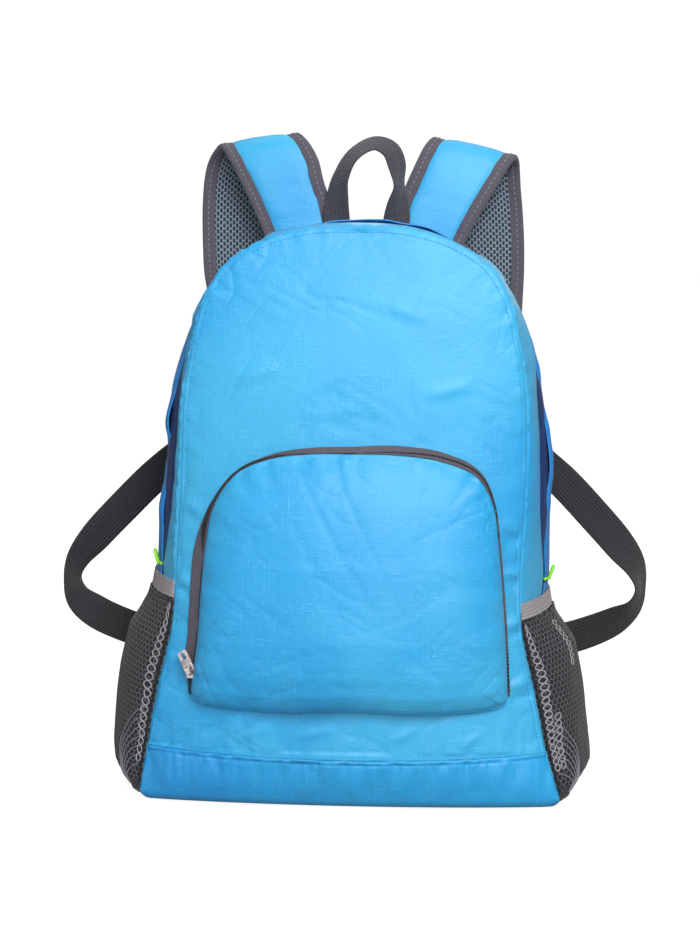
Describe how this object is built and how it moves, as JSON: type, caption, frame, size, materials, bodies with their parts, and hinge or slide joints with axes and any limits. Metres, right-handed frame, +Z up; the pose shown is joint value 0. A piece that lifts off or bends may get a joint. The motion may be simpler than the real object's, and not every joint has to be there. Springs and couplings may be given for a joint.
{
  "type": "backpack",
  "caption": "Packable ripstop backpack with arched front pocket, mesh side pockets, padded shoulder straps and webbing handle, standing upright on its base",
  "frame": {"origin": "On the floor under the middle of the whole part, which rests on its base.", "axes": "+Z up, +X to the right seen from the front, the front with its pocket faces -Y, the wearer's side with the straps faces +Y."},
  "size_m": [0.439, 0.205, 0.4815],
  "materials": {
    "ripstop": "satin",
    "ripstop_deep": "satin",
    "grey_knit": "matte",
    "grey_binding": "matte",
    "grey_webbing": "matte",
    "black_webbing": "matte",
    "black_plastic": "matte",
    "green_pull": "satin",
    "zip_metal": "satin"
  },
  "bodies": {
    "bag": {"front_panel": "ripstop", "front_gusset": "ripstop", "back_gusset": "ripstop_deep", "main_zip_tape": "ripstop_deep", "side_panel_left": "ripstop", "side_panel_right": "ripstop", "back_panel": "ripstop", "bottom_panel": "ripstop", "mesh_pocket_left": "grey_knit", "mesh_pocket_right": "grey_knit", "pocket_binding_left": "grey_binding", "pocket_binding_right": "grey_binding", "front_pocket": "ripstop", "pocket_zip_tape": "grey_binding", "pocket_slider": "zip_metal", "main_slider_left": "zip_metal", "main_slider_right": "zip_metal", "zip_pull_left": "green_pull", "zip_pull_right": "green_pull", "strap_left": "ripstop", "strap_right": "ripstop", "strap_binding_left_inner": "grey_binding", "strap_binding_left_outer": "grey_binding", "strap_binding_right_inner": "grey_binding", "strap_binding_right_outer": "grey_binding", "ladder_lock_left": "black_plastic", "ladder_lock_right": "black_plastic", "strap_webbing_left": "black_webbing", "strap_webbing_right": "black_webbing", "carry_handle": "grey_webbing"},
    "pull": {"pocket_pull": "zip_metal"}
  },
  "joints": [
    {"name": "pull_swing", "type": "hinge", "parent": "bag", "child": "pull", "pos_m": [-0.10756, -0.07293, 0.09768], "axis": [0.8513, -0.1763, 0.4942], "range_deg": [0, 110]}
  ]
}
